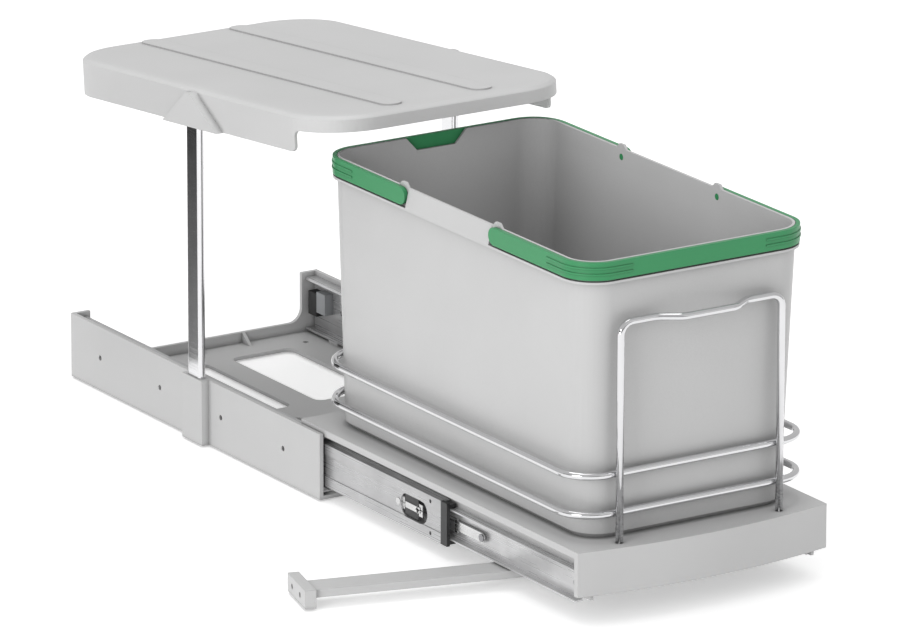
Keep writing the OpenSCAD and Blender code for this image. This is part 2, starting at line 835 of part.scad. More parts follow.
module front_wire_guard() {
    color("silver") {
        for (s = [-1, 1]) on_side(s) {
            wire_leg(guard_x, guard_d, guard_z);
            wire([guard_x - guard_r, -guard_d, guard_z], [grip_x + 2 * grip_r, -guard_d, guard_z]);
            translate([grip_x + 2 * grip_r, -guard_d - grip_r, guard_z]) rotate([0, 0, 90])
                wire_bend(grip_r);
            wire([grip_x + grip_r, -guard_d - grip_r, guard_z],
                [grip_x + grip_r, -guard_d - grip_bow + grip_r, guard_z]);
            translate([grip_x, -guard_d - grip_bow + grip_r, guard_z]) rotate([0, 0, -90])
                wire_bend(grip_r);
        }
        wire([-grip_x, -guard_d - grip_bow, guard_z], [grip_x, -guard_d - grip_bow, guard_z]);
    }
}

module rear_wire_support() {
    top = hoop_high + support_over;
    color("silver") {
        for (s = [-1, 1]) on_side(s) wire_leg(support_x, support_d, top);
        wire([-support_x + guard_r, -support_d, top], [support_x - guard_r, -support_d, top]);
    }
}

// the bin's outer form, drawn in by a wall
module bin_form(wall, floor_z, top_z) {
    half = bin_x - wall;
    r = bin_r - wall;
    foot = half - bin_draft;
    front = bin_front - wall;
    foot_front = front - bin_draft_front;
    back = bin_back + wall;
    low_r = r - bin_chamfer;
    hull() {
        corners(foot - bin_chamfer, back + bin_chamfer, foot_front - bin_chamfer, low_r, low_r,
            floor_z, cut, floor_z, cut);
        corners(foot, back, foot_front, r, r, floor_z + bin_chamfer, cut, floor_z + bin_chamfer, cut);
        corners(half, back, front, r, r, ledge_z, top_z - ledge_z, ledge_z, top_z - ledge_z);
    }
}

module waste_bin() {
    color("lightgray") difference() {
        union() {
            bin_form(0, deck_z, bin_top);
            rim_band(-bin_t / 2, ledge_w, ledge_z - ledge_t, ledge_z);
            for (s = [-1, 1]) on_side(s) {
                run(rear_pivot_d + handle_h / 2 + gap, front_pivot_d - handle_h / 2 - gap)
                    polygon([[bin_x - bin_t / 2, bin_top], [bin_x, bin_top],
                        [bin_x + ledge_w, ledge_z], [bin_x - bin_t / 2, ledge_z]]);
                for (d = [rear_pivot_d, front_pivot_d])
                    across(bin_x - bin_t, bin_x)
                        polygon([[-d - ear_w / 2, bin_top - cut], [-d + ear_w / 2, bin_top - cut],
                            [-d + ear_w / 2, bin_top], [-d + ear_w / 2 - ear_h, bin_top + ear_h],
                            [-d - ear_w / 2 + ear_h, bin_top + ear_h], [-d - ear_w / 2, bin_top]]);
            }
        }
        bin_form(bin_t, deck_z + bin_t, bin_top + cut + ear_h);
        for (s = [-1, 1], d = [rear_pivot_d, front_pivot_d]) on_side(s)
            cross_pin(bin_x - bin_t - cut, bin_x + cut, d, handle_z, handle_pin_r + fit);
        run(bin_back - cut, bin_back + bin_t + cut)
            polygon([[-notch_x, bin_top + cut], [-notch_x * notch_share, bin_top - notch_h],
                [notch_x * notch_share, bin_top - notch_h], [notch_x, bin_top + cut]]);
    }
}

// a band round the rim between two growths, over a height
module rim_band(grow0, grow1, z0, z1) {
    translate([0, 0, z0]) linear_extrude(height = z1 - z0) difference() {
        plan(bin_x + grow1, bin_back - grow1, bin_front + grow1, bin_r + grow1, bin_r + grow1);
        plan(bin_x + grow0, bin_back - grow0, bin_front + grow0, bin_r + grow0, bin_r + grow0);
    }
}

// a handle from its pivots round one end of the bin
module bin_handle(pivot_d, d0, d1, corner_d0, corner_d1) {
    low = handle_z - handle_h / 2;
    out = handle_gap + handle_t;
    reach = bin_x + out + cut;
    color("seagreen") {
        intersection() {
            rim_band(handle_gap, out, low, low + handle_h);
            block(-reach, reach, d0, d1, low, low + handle_h);
        }
        intersection() {
            for (z = [-1, 1] * handle_h / 6)
                rim_band(out - ridge_t, out + ridge_t, handle_z + z - ridge_h / 2,
                    handle_z + z + ridge_h / 2);
            for (s = [-1, 1]) on_side(s)
                block(reach - ridge_span, reach, corner_d0, corner_d1, low, low + handle_h);
        }
        for (s = [-1, 1]) on_side(s) {
            cross_pin(handle_x, handle_x + handle_t, pivot_d, handle_z, handle_h / 2);
            cross_pin(bin_x - bin_t, handle_x + handle_t / 2, pivot_d, handle_z, handle_pin_r);
        }
    }
}

module rear_bin_handle() {
    bin_handle(rear_pivot_d, 0, rear_pivot_d, 0, bin_back + ridge_span);
}

module front_bin_handle() {
    bin_handle(front_pivot_d, front_pivot_d, bin_front + bin_r, bin_front - ridge_span,
        bin_front + bin_r);
}

// turns the lid from level to its open angle about the pivots
module tipped() {
    translate([0, -post_d, pivot_z]) rotate([-lid_open, 0, 0]) translate([0, post_d, -pivot_z])
        children();
}

// the lid's outer form, drawn in by a wall
module lid_form(wall, low) {
    half = lid_x - wall;
    back = lid_back + wall;
    front = lid_front - wall;
    r0 = lid_r_back - wall;
    r1 = lid_r_front - wall;
    edge = lid_edge - wall;
    hull() {
        corners(half, back, front, r0, r1, low, edge - low, low, edge - low);
        for (share = crown_shares) {
            i = crown_run * share[0];
            z = edge - cut + crown * share[1];
            corners(half - i, back + i, front - i, r0 - i, r1 - i, z, cut, z, cut);
        }
    }
}

// triangle of a pivot housing in y and z
module housing_outline(wall) {
    top = lid_edge - wall;
    polygon([[-post_d - housing_x + wall, lid_low - (wall > 0 ? cut : 0)],
        [-post_d + housing_x - wall, lid_low - (wall > 0 ? cut : 0)],
        [-post_d + housing_apex, top], [-post_d - housing_apex, top]]);
}

// space in front of the skirts that the front lip leaves open
module lip_cut() {
    back = lid_front - lid_nose;
    lip = lid_edge - lid_lip_h;
    across(-lid_x - cut, lid_x + cut) polygon(concat(
        [[-lid_front - cut, lid_low - cut], [-back, lid_low - cut]],
        [for (a = [0:10:90])
            [-back - lip_curve * sin(a), lid_low + lip_curve - lip_curve * cos(a)]],
        [for (a = [0:10:90])
            [-back - 2 * lip_curve + lip_curve * cos(a), lip - lip_curve + lip_curve * sin(a)]],
        [[-lid_front - cut, lip]]));
}

module lid_band(x) {
    hull() for (d = [lid_back + band_rear, lid_front - band_nose])
        translate([x, -d, lid_edge + crown - band_sink])
            cylinder(h = band_sink + band_h, r = band_w / 2, $fn = 32);
}

module lid() {
    outer = lid_x + housing_t;
    color("gainsboro") tipped() difference() {
        union() {
            difference() {
                lid_form(0, lid_low);
                lid_form(lid_t, lid_low - cut);
                lip_cut();
            }
            for (s = [-1, 1]) {
                lid_band(s * band_x);
                on_side(s) {
                    across(lid_x - lid_t, outer) housing_outline(0);
                    block(post_x - post_t / 2 - lug_gap - lug_t, post_x - post_t / 2 - lug_gap,
                        post_d - lug_w / 2, post_d + lug_w / 2, pivot_z - lug_drop,
                        lid_edge + crown - lid_t / 2);
                }
            }
        }
        for (s = [-1, 1]) on_side(s) {
            across(post_x - post_t / 2 - lug_gap + slip, outer - housing_wall)
                housing_outline(housing_wall);
            cross_pin(post_x - post_t / 2 - lug_gap - lug_t - cut, outer - housing_wall + pin_seat,
                post_d, pivot_z, pivot_r + fit);
        }
    }
}

module lid_pivot_pins() {
    color("silver") for (s = [-1, 1]) on_side(s)
        cross_pin(post_x - post_t / 2 - lug_gap - lug_t, lid_x + housing_t - housing_wall + pin_seat,
            post_d, pivot_z, pivot_r);
}

// places the arm's own frame: x runs from the swivel point to the bracket
module at_swivel() {
    translate([-swivel_x, -swivel_d, 0]) rotate([0, 0, 180 - arm_angle]) children();
}

module swivel_shoe() {
    color("gray") at_swivel() difference() {
        union() {
            translate([-shoe_w / 2, -shoe_w / 2, arm_z - slip - shoe_floor])
                cube([shoe_w, shoe_w, shoe_top + slip + shoe_floor - arm_z]);
            translate([0, 0, shoe_top - cut])
                cylinder(h = deck_z - deck_t - boss_cap - pin_over - shoe_top + cut, r = swivel_pin_r,
                    $fn = 48);
        }
        translate([-shoe_w / 2 - cut, -arm_w / 2 - slip, arm_z - slip])
            cube([shoe_w + 2 * cut, arm_w + 2 * slip, arm_t + 2 * slip]);
        translate([0, 0, deck_z - deck_t - swivel_screw_l - slip])
            cylinder(h = swivel_screw_l, r = swivel_screw_r + fit, $fn = 48);
    }
}

module swivel_screw() {
    color("silver") {
        upright(-swivel_x, swivel_d, deck_z - deck_t, deck_z, swivel_head_r);
        upright(-swivel_x, swivel_d, deck_z - deck_t - swivel_screw_l, deck_z - deck_t / 2,
            swivel_screw_r);
    }
}

module door_arm() {
    tail = -arm_tail;
    color("lightgray") at_swivel() difference() {
        union() {
            translate([tail, -arm_w / 2, arm_z])
                cube([arm_reach - bracket_t / 2 + arm_tail, arm_w, arm_t]);
            translate([arm_reach - bracket_t, bracket_side - bracket_l, bracket_low])
                cube([bracket_t, bracket_l, bracket_h]);
        }
        for (i = [0, 1]) translate([arm_reach - bracket_t - cut,
            bracket_hole_side - i * bracket_pitch, bracket_low + bracket_h / 2])
            rotate([0, 90, 0]) cylinder(h = bracket_t + 2 * cut, r = bracket_hole_r, $fn = 48);
        translate([tail + stop_pin_end, 0, arm_z - cut])
            cylinder(h = arm_t + 2 * cut, r = stop_pin_r + fit, $fn = 48);
    }
}

module arm_stop_pin() {
    color("silver") at_swivel() translate([stop_pin_end - arm_tail, 0, arm_z - stop_pin_over])
        cylinder(h = arm_t + 2 * stop_pin_over, r = stop_pin_r, $fn = 48);
}

base_frame();
post(-1);  // left_post
post(1);  // right_post
outer_rail(-1);  // left_outer_rail
outer_rail(1);  // right_outer_rail
outer_rail_screws();
rear_stop(-1);  // left_rear_stop
rear_stop(1);  // right_rear_stop
rubber_buffer(-1);  // left_rubber_buffer
rubber_buffer(1);  // right_rubber_buffer
outer_ball_cage(-1);  // left_outer_ball_cage
outer_ball_cage(1);  // right_outer_ball_cage
outer_balls(-1);  // left_outer_balls
outer_balls(1);  // right_outer_balls
middle_rail(-1);  // left_middle_rail
middle_rail(1);  // right_middle_rail
rail_latch(-1);  // left_rail_latch
rail_latch(1);  // right_rail_latch
rail_end_cap(-1);  // left_rail_end_cap
rail_end_cap(1);  // right_rail_end_cap
inner_ball_cage(-1);  // left_inner_ball_cage
inner_ball_cage(1);  // right_inner_ball_cage
inner_balls(-1);  // left_inner_balls
inner_balls(1);  // right_inner_balls
tray();
inner_rail(-1);  // left_inner_rail
inner_rail(1);  // right_inner_rail
tray_rail_screws();
lever_rivets();
release_lever(-1);  // left_release_lever
release_lever(1);  // right_release_lever
wire_hoop(hoop_high);  // upper_wire_hoop
wire_hoop(hoop_low);  // lower_wire_hoop
front_wire_guard();
rear_wire_support();
waste_bin();
rear_bin_handle();
front_bin_handle();
lid();
lid_pivot_pins();
swivel_shoe();
swivel_screw();
door_arm();
arm_stop_pin();
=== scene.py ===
# %% [markdown]
# # A pull-out trash cabinet, dressed for a product picture
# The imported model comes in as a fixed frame: every moulded, bent and turned piece
# is already in its place, in metres. This lesson gives each piece its finish, bends
# the front guard's wire more softly, and sets the camera and lights.

# %% Load the frame
import json
import math
import bpy
import bmesh
from mathutils import Matrix, Vector


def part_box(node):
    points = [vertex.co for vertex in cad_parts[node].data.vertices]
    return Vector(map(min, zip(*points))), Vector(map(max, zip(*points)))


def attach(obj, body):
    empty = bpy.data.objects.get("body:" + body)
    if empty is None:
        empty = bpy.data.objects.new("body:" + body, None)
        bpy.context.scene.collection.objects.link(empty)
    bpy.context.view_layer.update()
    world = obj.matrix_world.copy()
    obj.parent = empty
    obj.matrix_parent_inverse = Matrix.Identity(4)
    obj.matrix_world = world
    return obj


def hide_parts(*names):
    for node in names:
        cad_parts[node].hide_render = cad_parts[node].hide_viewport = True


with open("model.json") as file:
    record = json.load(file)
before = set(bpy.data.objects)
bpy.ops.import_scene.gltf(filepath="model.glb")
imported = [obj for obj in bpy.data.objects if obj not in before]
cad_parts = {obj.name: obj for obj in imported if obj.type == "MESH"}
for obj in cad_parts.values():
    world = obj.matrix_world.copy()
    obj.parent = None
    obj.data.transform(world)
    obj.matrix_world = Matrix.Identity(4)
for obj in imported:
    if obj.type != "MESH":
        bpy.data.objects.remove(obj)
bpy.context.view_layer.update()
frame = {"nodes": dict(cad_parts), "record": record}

# %% [markdown]
# ## Camera first
# The photograph was taken from far away with a long lens, so its lines stay nearly
# parallel. Position, aim and lens come from fitting known edges of the object. The
# camera is built from those numbers, because a constraint would be solved too late.

# %% Camera
EYE = Vector((-3.5321, -5.9359, 2.1296))
AIM = Vector((0.0567, -0.3064, 0.1000))
ROLL = math.radians(0.107)


def add_camera():
    lens = bpy.data.cameras.new("photo_lens")
    lens.sensor_width = 36.0
    lens.lens = 346.52
    lens.clip_end = 50.0
    camera = bpy.data.objects.new("photo_camera", lens)
    bpy.context.scene.collection.objects.link(camera)
    back = (EYE - AIM).normalized()
    right = Vector((0, 0, 1)).cross(back).normalized()
    up = back.cross(right)
    right, up = (right * math.cos(ROLL) + up * math.sin(ROLL),
                 up * math.cos(ROLL) - right * math.sin(ROLL))
    turn = Matrix((right, up, back)).transposed().to_4x4()
    camera.matrix_world = Matrix.Translation(EYE) @ turn
    bpy.context.scene.camera = camera
    return camera


camera = add_camera()
print("camera is", round((EYE - AIM).length, 2), "m from its aim")

# %% [markdown]
# ## Shared surface effects
# Moulded plastic is never perfectly even. It has a fine spark-eroded grain, a slow drift
# in tone where it cooled, and painted shade in creases and recesses. Sheet steel has a
# lengthwise rolling grain. Each effect is one node group, placed with its own values.

# %% Helpers for node groups
EDGE_SAMPLES = 6
PAINTED_SHADE_SAMPLES = 4
GRAIN_HEIGHT = 0.0003
STREAK_HEIGHT = 0.0001
NOISE_MIDDLE = (0.3, 0.7)


def new_group(name, inputs, outputs):
    group = bpy.data.node_groups.new(name, "ShaderNodeTree")
    for label, kind, value in inputs:
        socket = group.interface.new_socket(label, in_out="INPUT", socket_type=kind)
        socket.default_value = value
    for label, kind in outputs:
        group.interface.new_socket(label, in_out="OUTPUT", socket_type=kind)
    return group, group.nodes.new("NodeGroupInput"), group.nodes.new("NodeGroupOutput")


def noise(tree, coords, scale, detail=2.0):
    node = tree.nodes.new("ShaderNodeTexNoise")
    node.inputs["Scale"].default_value = scale
    node.inputs["Detail"].default_value = detail
    tree.links.new(coords, node.inputs["Vector"])
    return node


def spread(tree, value, low, high):
    node = tree.nodes.new("ShaderNodeMapRange")
    node.inputs["From Min"].default_value = NOISE_MIDDLE[0]
    node.inputs["From Max"].default_value = NOISE_MIDDLE[1]
    tree.links.new(value, node.inputs["Value"])
    for socket, source in (("To Min", low), ("To Max", high)):
        if isinstance(source, float):
            node.inputs[socket].default_value = source
        else:
            tree.links.new(source, node.inputs[socket])
    return node.outputs["Result"]


def multiply_colours(tree, factor, first, second):
    # the mix node's colour sockets are its seventh and eighth inputs and third output
    node = tree.nodes.new("ShaderNodeMix")
    node.data_type = "RGBA"
    node.blend_type = "MULTIPLY"
    tree.links.new(factor, node.inputs["Factor"])
    tree.links.new(first, node.inputs[6])
    tree.links.new(second, node.inputs[7])
    return node.outputs[2]


def drifting_tone(tree, given, clouds):
    shade = tree.nodes.new("ShaderNodeMath")
    shade.operation = "MULTIPLY_ADD"
    tree.links.new(spread(tree, clouds.outputs["Fac"], -1.0, 1.0), shade.inputs[0])
    tree.links.new(given.outputs["Drift"], shade.inputs[1])
    shade.inputs[2].default_value = 1.0
    tone = tree.nodes.new("ShaderNodeHueSaturation")
    tree.links.new(shade.outputs[0], tone.inputs["Value"])
    tree.links.new(given.outputs["Colour"], tone.inputs["Color"])
    return tone.outputs["Color"]


def uneven_roughness(tree, given, out, pattern, low, high):
    rough = tree.nodes.new("ShaderNodeMath")
    rough.operation = "ADD"
    tree.links.new(spread(tree, pattern.outputs["Fac"], low, high), rough.inputs[0])
    tree.links.new(given.outputs["Roughness"], rough.inputs[1])
    tree.links.new(rough.outputs[0], out.inputs["Roughness"])


def bumped_normal(tree, given, out, pattern, strength, depth):
    edge = tree.nodes.new("ShaderNodeBevel")
    edge.samples = EDGE_SAMPLES
    tree.links.new(given.outputs["Edge Radius"], edge.inputs["Radius"])
    bump = tree.nodes.new("ShaderNodeBump")
    bump.inputs["Distance"].default_value = depth
    tree.links.new(given.outputs[strength], bump.inputs["Strength"])
    tree.links.new(pattern.outputs["Fac"], bump.inputs["Height"])
    tree.links.new(edge.outputs["Normal"], bump.inputs["Normal"])
    tree.links.new(bump.outputs["Normal"], out.inputs["Normal"])


print("helpers ready")

# %% Moulded plastic effect


def make_moulding_group():
    group, given, out = new_group(
        "moulded surface",
        [("Colour", "NodeSocketColor", (0.6, 0.6, 0.6, 1)),
         ("Drift", "NodeSocketFloat", 0.03),
         ("Roughness", "NodeSocketFloat", 0.45),
         ("Grain Size", "NodeSocketFloat", 900.0),
         ("Grain Depth", "NodeSocketFloat", 0.15),
         # strength and reach of the painted shade in creases and recesses
         ("Crease", "NodeSocketFloat", 0.7),
         ("Crease Reach", "NodeSocketFloat", 0.005),
         ("Edge Radius", "NodeSocketFloat", 0.0005)],
        [("Colour", "NodeSocketColor"), ("Roughness", "NodeSocketFloat"),
         ("Normal", "NodeSocketVector")])
    nodes, links = group.nodes, group.links
    coords = nodes.new("ShaderNodeTexCoord").outputs["Object"]
    slow = noise(group, coords, 9.0, 3.0)
    tone = drifting_tone(group, given, slow)
    # painted shade: ambient occlusion darkens the colour in creases and recesses
    painted_shade = nodes.new("ShaderNodeAmbientOcclusion")
    painted_shade.samples = PAINTED_SHADE_SAMPLES
    links.new(given.outputs["Crease Reach"], painted_shade.inputs["Distance"])
    painted_shade_tone = multiply_colours(group, given.outputs["Crease"], tone, painted_shade.outputs["Color"])
    links.new(painted_shade_tone, out.inputs["Colour"])
    fine = nodes.new("ShaderNodeTexNoise")
    fine.inputs["Detail"].default_value = 3.0
    links.new(coords, fine.inputs["Vector"])
    links.new(given.outputs["Grain Size"], fine.inputs["Scale"])
    uneven_roughness(group, given, out, slow, -0.04, 0.04)
    bumped_normal(group, given, out, fine, "Grain Depth", GRAIN_HEIGHT)
    return group


MOULDED = make_moulding_group()
print("group:", MOULDED.name)

# %% Rolled steel effect


def make_steel_group():
    group, given, out = new_group(
        "rolled steel surface",
        [("Colour", "NodeSocketColor", (0.6, 0.6, 0.6, 1)),
         ("Drift", "NodeSocketFloat", 0.08),
         ("Roughness", "NodeSocketFloat", 0.3),
         ("Streaks", "NodeSocketFloat", 0.1),
         ("Edge Radius", "NodeSocketFloat", 0.0003)],
        [("Colour", "NodeSocketColor"), ("Roughness", "NodeSocketFloat"),
         ("Normal", "NodeSocketVector")])
    nodes, links = group.nodes, group.links
    coords = nodes.new("ShaderNodeTexCoord").outputs["Object"]
    stretch = nodes.new("ShaderNodeMapping")
    stretch.inputs["Scale"].default_value = (600.0, 9.0, 600.0)
    links.new(coords, stretch.inputs["Vector"])
    grain = noise(group, stretch.outputs["Vector"], 1.0, 4.0)
    cloud = noise(group, coords, 40.0, 4.0)
    links.new(drifting_tone(group, given, cloud), out.inputs["Colour"])
    uneven_roughness(group, given, out, grain, -0.06, 0.08)
    bumped_normal(group, given, out, grain, "Streaks", STREAK_HEIGHT)
    return group


STEEL = make_steel_group()
print("group:", STEEL.name)

# %% [markdown]
# ## The finishes
# One function makes a material around either effect. The shader itself stays in the
# material, with its plain numbers set on its own sockets, so that an export keeps them.

# %% Finishes


def finish(name, effect, colour, metallic=0.0, **values):
    material = bpy.data.materials.new(name)
    material.use_nodes = True
    tree = material.node_tree
    shader = tree.nodes["Principled BSDF"]
    shader.inputs["Metallic"].default_value = metallic
    surface = tree.nodes.new("ShaderNodeGroup")
    surface.node_tree = effect
    surface.inputs["Colour"].default_value = (*colour, 1)
    for label, value in values.items():
        surface.inputs[label.replace("_", " ")].default_value = value
    tree.links.new(surface.outputs["Colour"], shader.inputs["Base Color"])
    tree.links.new(surface.outputs["Roughness"], shader.inputs["Roughness"])
    tree.links.new(surface.outputs["Normal"], shader.inputs["Normal"])
    return material


GREY = (0.60, 0.60, 0.60)
FINISHES = {
    "frame_plastic": finish("frame grey", MOULDED, GREY, Roughness=0.48, Grain_Depth=0.12),
    "tray_plastic": finish("tray grey", MOULDED, GREY, Roughness=0.46, Grain_Depth=0.12),
    # the bin's painted shade reaches 12 cm and darkens its whole inside
    "bin_plastic": finish("bin grey", MOULDED, GREY, Roughness=0.40, Grain_Depth=0.06,
                          Crease=0.6, Crease_Reach=0.12),
    "lid_plastic": finish("lid grey", MOULDED, (0.63, 0.63, 0.63), Roughness=0.45,
                          Grain_Depth=0.08),
    "shoe_plastic": finish("shoe grey", MOULDED, (0.4, 0.4, 0.41), Roughness=0.5),
    "arm_plastic": finish("arm grey", MOULDED, GREY, Roughness=0.45, Grain_Depth=0.10),
    # painted shade darkens the handle's grooves and notches
    "handle_plastic": finish("handle green", MOULDED, (0.033, 0.29, 0.105), Roughness=0.36,
                             Grain_Depth=0.05, Crease=0.75, Crease_Reach=0.02),
    "stop_plastic": finish("stop grey", MOULDED, (0.30, 0.31, 0.32), Roughness=0.5),
    "cap_plastic": finish("cap black", MOULDED, (0.02, 0.02, 0.021), Roughness=0.35),
    "buffer_rubber": finish("buffer rubber", MOULDED, (0.02, 0.02, 0.02), Roughness=0.7),
    "rail_steel": finish("rail zinc", STEEL, (0.50, 0.50, 0.505), metallic=0.6, Roughness=0.30),
    "latch_steel": finish("latch zinc", STEEL, (0.66, 0.66, 0.66), metallic=1.0, Roughness=0.24),
    "cage_steel": finish("cage strip", STEEL, (0.55, 0.53, 0.47), metallic=1.0, Roughness=0.35),
    "ball_steel": finish("ball steel", STEEL, (0.72, 0.72, 0.73), metallic=1.0, Roughness=0.12),
    "screw_steel": finish("screw zinc", STEEL, (0.30, 0.30, 0.31), metallic=1.0, Roughness=0.3),
    "pin_steel": finish("pin steel", STEEL, (0.60, 0.60, 0.61), metallic=1.0, Roughness=0.3),
    "wire_chrome": finish("wire chrome", STEEL, (0.68, 0.68, 0.69), metallic=1.0, Roughness=0.05,
                          Streaks=0.0, Drift=0.02, Edge_Radius=0.0),
    "post_chrome": finish("post chrome", STEEL, (0.74, 0.74, 0.75), metallic=1.0, Roughness=0.13,
                          Streaks=0.0, Drift=0.02),
}
print("finishes:", len(FINISHES))

# %% Dress the frame's own pieces
SLOT_OF = {part["node"]: part["material_slot"] for part in frame["record"]["subparts"]}
for node, piece in frame["nodes"].items():
    piece.data.materials.clear()
    piece.data.materials.append(FINISHES[SLOT_OF[node]])

# In the photograph the inner rails look nearly as bright as the middle ones, though
# they lie deeper in shade, so their finish is painted lighter to cancel that shade.
INNER_RAIL_PAINTED_LIGHTER = finish("inner rail zinc painted lighter", STEEL, (0.62, 0.62, 0.625), metallic=0.6, Roughness=0.30)
for side in ("left", "right"):
    frame["nodes"][side + "_inner_rail"].data.materials[0] = INNER_RAIL_PAINTED_LIGHTER
print("dressed:", len(SLOT_OF))

# %% [markdown]
# ## A softer bend in the front guard
# The frame's guard steps out through square bends. Real wire is bent over round dies,
# so this wire runs from one slanted bend into the next. One helper rounds the corners
# of a path, and a round section follows the path.

# %% Bent wire
MM = 0.001


def rounded_path(corners, radii, steps=10):
    points = [corners[0]]
    for before, corner, after, radius in zip(corners, corners[1:], corners[2:], radii):
        a = (before - corner).normalized()
        b = (after - corner).normalized()
        half = a.angle(b) / 2
        centre = corner + (a + b).normalized() * radius / math.sin(half)
        start = corner + a * radius / math.tan(half)
        spoke = start - centre
        axis = spoke.cross(-a).normalized()
        turn = math.pi - 2 * half
        for i in range(steps + 1):
            points.append(centre + Matrix.Rotation(turn * i / steps, 3, axis) @ spoke)
    points.append(corners[-1])
    return points


def wire_mesh(name, points, radius, sides=20):
    mesh = bpy.data.meshes.new(name)
    form = bmesh.new()
    rings = []
    across = None
    for i, point in enumerate(points):
        ahead = points[min(i + 1, len(points) - 1)] - points[max(i - 1, 0)]
        ahead.normalize()
        if across is None:
            across = ahead.orthogonal().normalized()
        across = (across - ahead * across.dot(ahead)).normalized()
        other = ahead.cross(across)
        angles = [2 * math.pi * k / sides for k in range(sides)]
        rings.append([form.verts.new(point + radius * (across * math.cos(t) + other * math.sin(t)))
                      for t in angles])
    for first, second in zip(rings, rings[1:]):
        for k in range(sides):
            face = form.faces.new((first[k], first[(k + 1) % sides],
                                   second[(k + 1) % sides], second[k]))
            face.smooth = True
    form.faces.new(reversed(rings[0]))
    form.faces.new(rings[-1])
    form.to_mesh(mesh)
    form.free()
    return mesh


def add_piece(mesh, body, slot_name, place=(0, 0, 0)):
    piece = bpy.data.objects.new(mesh.name, mesh)
    bpy.context.scene.collection.objects.link(piece)
    mesh.materials.append(FINISHES[slot_name])
    piece.location = place
    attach(piece, body)
    return piece


WIRE_RADIUS = 3.0 * MM
GRIP_HALF = 24 * MM
STEP_OUT = 41 * MM
TOP_BEND = 10 * MM
STEP_BEND = 14 * MM


def add_guard():
    low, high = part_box("front_wire_guard")
    leg_x = high[0] - WIRE_RADIUS
    depth = high[1] - WIRE_RADIUS
    top = high[2] - WIRE_RADIUS
    front = low[1] + WIRE_RADIUS
    half = [(leg_x, depth, low[2]), (leg_x, depth, top),
            (STEP_OUT, depth, top), (GRIP_HALF, front, top)]
    corners = [Vector((-x, y, z)) for x, y, z in half] + [Vector(p) for p in reversed(half)]
    bends = [TOP_BEND, STEP_BEND, STEP_BEND]
    path = rounded_path(corners, bends + bends[::-1])
    mesh = wire_mesh("front_guard_wire", path, WIRE_RADIUS)
    piece = add_piece(mesh, "tray", "wire_chrome")
    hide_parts("front_wire_guard")
    return piece


guard = add_guard()
print("guard wire:", len(guard.data.vertices), "points")

# %% [markdown]
# ## The latch in the middle rail
# Behind the slot of each middle rail lies a black plate, a painted shadow for the slot.
# A bright tongue with a round pin lies on it. They are thin rounded plates, and each
# side has its own set. A row gives a plate's length, height, thickness and corner radius,
# how far it lies from the latch and from the slot's middle, all in millimetres, and its finish.

# %% Latch details
SLOT_MIDDLE = 15.5 * MM
LATCH_THICKNESS = 0.7 * MM
LATCH_PLATES = {
    # painted shadow: a black plate that paints the shade inside the rail's slot
    "painted_shadow": (38.0, 18.0, 0.2, 8.9, 0.1, 0.0, "cap_plastic"),
    "tongue": (25.0, 5.0, 0.5, 2.2, 0.5, -2.0, "latch_steel"),
    "pin": (7.0, 7.0, 0.9, 3.4, 0.7, -9.5, "latch_steel"),
}


RIM_SHARE = 0.12
SAME_PLACE = 1e-7


def plate_mesh(name, length, height, thickness, corner):
    form = bmesh.new()
    bmesh.ops.create_cube(form, size=1.0)
    for vert in form.verts:
        vert.co = Vector((vert.co.x * thickness, vert.co.y * length, vert.co.z * height))
    upright = [e for e in form.edges if abs(e.verts[0].co.x - e.verts[1].co.x) > thickness / 2]
    bmesh.ops.bevel(form, geom=upright, offset=corner, segments=8, affect="EDGES")
    rims = [e for e in form.edges if abs(e.verts[0].co.x - e.verts[1].co.x) < SAME_PLACE]
    bmesh.ops.bevel(form, geom=rims, offset=RIM_SHARE * thickness, segments=2, affect="EDGES")
    mesh = bpy.data.meshes.new(name)
    form.to_mesh(mesh)
    form.free()
    return mesh


def add_latch(side):
    sign = -1 if side == "left" else 1
    low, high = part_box(side + "_rail_latch")
    plate_x = low[0] if sign > 0 else high[0]
    middle = (low[2] + high[2]) / 2
    slot_y = low[1] + SLOT_MIDDLE
    shelf = plate_x + sign * LATCH_THICKNESS
    parts = []
    for name, (length, height, thick, corner, away, along, slot_name) in LATCH_PLATES.items():
        mesh = plate_mesh(side + "_latch_" + name, length * MM, height * MM, thick * MM,
                          corner * MM)
        place = (shelf + sign * away * MM, slot_y + along * MM, middle)
        parts.append(add_piece(mesh, side + "_middle", slot_name, place))
    return parts


for side in ("left", "right"):
    parts = add_latch(side)
    print(side, "latch:", [piece.name for piece in parts])

# %% [markdown]
# ## Studio
# The photograph is a cut-out on white with soft light from high on the left. The floor
# is plain white, with a little light of its own for the camera and mirrors, and it keeps
# the object's soft shadow.

# %% Floor and world
STUDIO_WHITE = (0.9, 0.9, 0.9, 1)
FLOOR_LIFT = 0.42
FLOOR_HALF = 6.0
FLOOR_DROP = 0.0015
WORLD_STRENGTH = 0.72


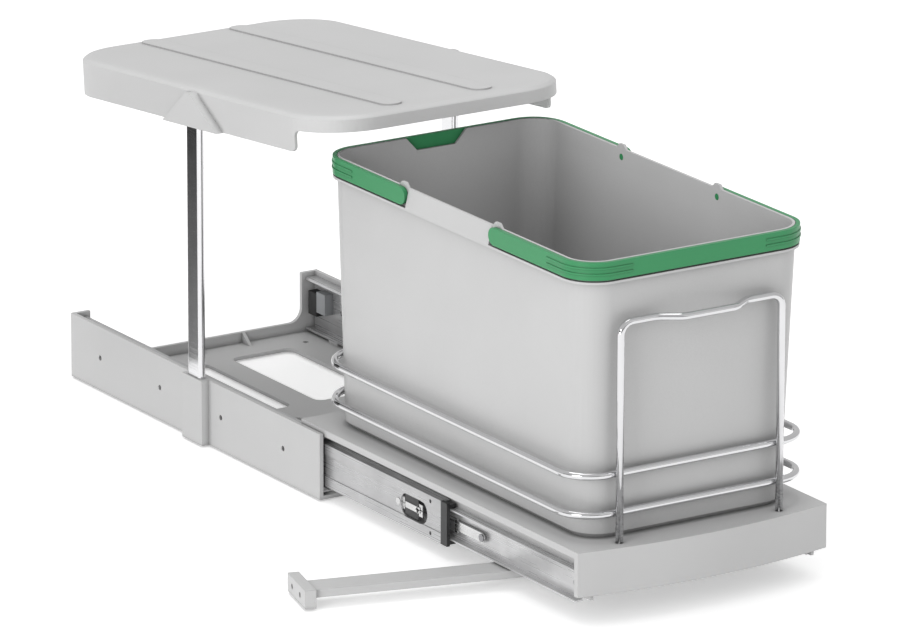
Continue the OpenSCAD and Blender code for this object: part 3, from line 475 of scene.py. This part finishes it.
def white_floor():
    mesh = bpy.data.meshes.new("studio_floor")
    size = FLOOR_HALF
    mesh.from_pydata([(-size, -size, 0), (size, -size, 0), (size, size, 0), (-size, size, 0)],
                     [], [(0, 1, 2, 3)])
    floor = bpy.data.objects.new("studio_floor", mesh)
    floor.location.z = -FLOOR_DROP
    bpy.context.scene.collection.objects.link(floor)
    material = bpy.data.materials.new("studio white")
    material.use_nodes = True
    tree = material.node_tree
    shader = tree.nodes["Principled BSDF"]
    shader.inputs["Base Color"].default_value = STUDIO_WHITE
    shader.inputs["Roughness"].default_value = 1.0
    shader.inputs["Specular IOR Level"].default_value = 0.0
    shader.inputs["Emission Color"].default_value = (1, 1, 1, 1)
    rays = tree.nodes.new("ShaderNodeLightPath")
    lift = tree.nodes.new("ShaderNodeMath")
    lift.operation = "MULTIPLY"
    lift.inputs[1].default_value = FLOOR_LIFT
    seen = tree.nodes.new("ShaderNodeMath")
    seen.operation = "MAXIMUM"
    tree.links.new(rays.outputs["Is Camera Ray"], seen.inputs[0])
    tree.links.new(rays.outputs["Is Glossy Ray"], seen.inputs[1])
    tree.links.new(seen.outputs[0], lift.inputs[0])
    tree.links.new(lift.outputs[0], shader.inputs["Emission Strength"])
    mesh.materials.append(material)
    return floor


def white_world():
    world = bpy.data.worlds.new("studio")
    bpy.context.scene.world = world
    world.use_nodes = True
    tree = world.node_tree
    background = tree.nodes["Background"]
    background.inputs["Color"].default_value = STUDIO_WHITE
    background.inputs["Strength"].default_value = WORLD_STRENGTH
    return world


floor = white_floor()
white_world()
print("floor is at", round(floor.location.z, 4), "m")

# %% Lights


def area_light(name, place, aim, size, power):
    data = bpy.data.lights.new(name, "AREA")
    data.shape = "DISK"
    data.size = size
    data.energy = power
    light = bpy.data.objects.new(name, data)
    light.location = place
    direction = Vector(aim) - Vector(place)
    light.rotation_euler = direction.to_track_quat("-Z", "Y").to_euler()
    bpy.context.scene.collection.objects.link(light)
    return light


CENTRE = (0.0, -0.38, 0.12)
area_light("key_left", (-3.7, -2.1, 1.05), CENTRE, 2.0, 54.0)
area_light("fill_front", (1.0, -3.9, 1.3), CENTRE, 2.4, 3.0)
area_light("top_soft", (-0.2, 0.0, 3.4), CENTRE, 2.2, 27.0)
bpy.context.scene.view_settings.view_transform = "Standard"

# %% [markdown]
# ## Dark cards
# Chrome shows what stands around it. Three dark cards, seen only by mirrors, give the
# posts and wires their contrast. The one beside the posts turns grey toward its foot.

# %% Dark cards
CARD_BLACK = (0.015, 0.015, 0.016, 1)
CARD_GREY = 0.38


def grade_by_height(tree, shader, low, high):
    coords = tree.nodes.new("ShaderNodeTexCoord")
    split = tree.nodes.new("ShaderNodeSeparateXYZ")
    grade = tree.nodes.new("ShaderNodeMapRange")
    grade.inputs["From Min"].default_value = low
    grade.inputs["From Max"].default_value = high
    grade.inputs["To Min"].default_value = CARD_GREY
    grade.inputs["To Max"].default_value = CARD_BLACK[0]
    tree.links.new(coords.outputs["Object"], split.inputs["Vector"])
    tree.links.new(split.outputs["Z"], grade.inputs["Value"])
    tree.links.new(grade.outputs["Result"], shader.inputs["Base Color"])


def dark_card(name, middle, facing, width, height, graded=False):
    mesh = bpy.data.meshes.new(name)
    w, h = width / 2, height / 2
    mesh.from_pydata([(-w, 0, -h), (w, 0, -h), (w, 0, h), (-w, 0, h)], [], [(0, 1, 2, 3)])
    card = bpy.data.objects.new(name, mesh)
    card.location = middle
    card.rotation_euler.z = math.atan2(facing[1], facing[0]) + math.pi / 2
    bpy.context.scene.collection.objects.link(card)
    material = bpy.data.materials.new(name)
    material.use_nodes = True
    shader = material.node_tree.nodes["Principled BSDF"]
    shader.inputs["Base Color"].default_value = CARD_BLACK
    shader.inputs["Roughness"].default_value = 1.0
    shader.inputs["Specular IOR Level"].default_value = 0.0
    if graded:
        grade_by_height(material.node_tree, shader, -height / 2, height / 4)
    mesh.materials.append(material)
    card.visible_camera = False
    card.visible_diffuse = False
    card.visible_shadow = False
    return card


cards = [
    dark_card("card_posts", (-0.235, -0.02, 0.17), (0.52, -0.81), 0.16, 0.34, graded=True),
    dark_card("card_left", (-2.4, -0.9, 0.75), (1.0, 0.2), 2.4, 0.35),
    dark_card("card_front", (-0.2, -3.0, 0.55), (0.0, 1.0), 2.6, 0.3),
]
print("cards:", len(cards))
